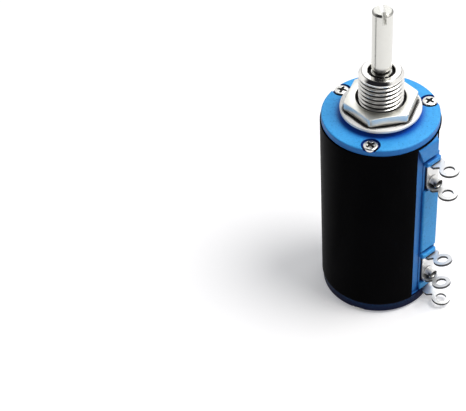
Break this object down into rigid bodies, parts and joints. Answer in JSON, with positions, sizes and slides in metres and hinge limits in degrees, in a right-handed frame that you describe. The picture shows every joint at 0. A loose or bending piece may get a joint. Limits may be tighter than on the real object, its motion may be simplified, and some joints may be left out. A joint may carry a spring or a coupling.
{
  "type": "multiturn potentiometer",
  "caption": "Round panel-mount multiturn potentiometer with a slotted shaft, threaded bushing with nut and washer, blue housing in a black sleeve, and eyelet lugs along one side.",
  "frame": {"origin": "centre of the rear face, on the shaft axis", "axes": "+Z along the shaft towards its slotted end; the terminal rail faces between +X and -Y"},
  "size_m": [0.0276, 0.024, 0.0706],
  "materials": {
    "blue_plastic": "satin moulded",
    "black_sleeve": "glossy, printed",
    "nickel_plate": "bright nickel plate",
    "shaft_steel": "turned, fine rings",
    "screw_steel": "bright zinc plate",
    "tinned_sheet": "tinned, bright",
    "rotor_plastic": "moulded",
    "winding_wire": "close wound fine wire",
    "spring_bronze": "rolled",
    "rod_brass": "drawn",
    "label_ink": "printed marks on the sleeve"
  },
  "bodies": {
    "housing": {"front_cap": "blue_plastic", "rear_cap": "blue_plastic", "housing_tube": "blue_plastic", "outer_sleeve": "black_sleeve", "threaded_bushing": "nickel_plate", "front_cap_screws": "screw_steel", "rear_cap_screws": "screw_steel", "resistance_element": "winding_wire", "front_terminal": "tinned_sheet", "rear_terminal": "tinned_sheet", "wiper_terminal": "tinned_sheet", "terminal_rivets": "tinned_sheet", "wiper_brush": "spring_bronze", "rear_bearing": "rod_brass", "thrust_washer": "rod_brass"},
    "rotor": {"shaft": "shaft_steel", "front_hub": "rotor_plastic", "rear_hub": "rotor_plastic", "guide_rods": "shaft_steel", "collector_rod": "rod_brass", "slip_ring": "rod_brass", "retaining_ring": "screw_steel"},
    "carriage": {"wiper_carriage": "rotor_plastic", "wiper_contact": "spring_bronze", "collector_spring": "spring_bronze"},
    "washer": {"mounting_washer": "nickel_plate"},
    "nut": {"mounting_nut": "nickel_plate"}
  },
  "joints": [
    {"name": "shaft_turn", "type": "hinge", "parent": "housing", "child": "rotor", "pos_m": [0, 0, 0.06], "axis": [0, 0, 1], "range_deg": [-1800, 1800]},
    {"name": "carriage_slide", "type": "slide", "parent": "rotor", "child": "carriage", "axis": [0, 0, 1], "range_m": [-0.0132, 0.0132]},
    {"name": "washer_slide", "type": "slide", "parent": "housing", "child": "washer", "axis": [0, 0, 1], "range_m": [0, 0.0045]},
    {"name": "nut_turn", "type": "hinge", "parent": "washer", "child": "nut", "pos_m": [0, 0, 0.049], "axis": [0, 0, 1], "range_deg": [0, 1620.5]}
  ],
  "couplings": [
    {"joint": "carriage_slide", "follows": "shaft_turn", "m_per_rad": 0.00041619},
    {"joint": "nut_turn", "follows": "washer_slide", "rad_per_m": 6283.2}
  ]
}
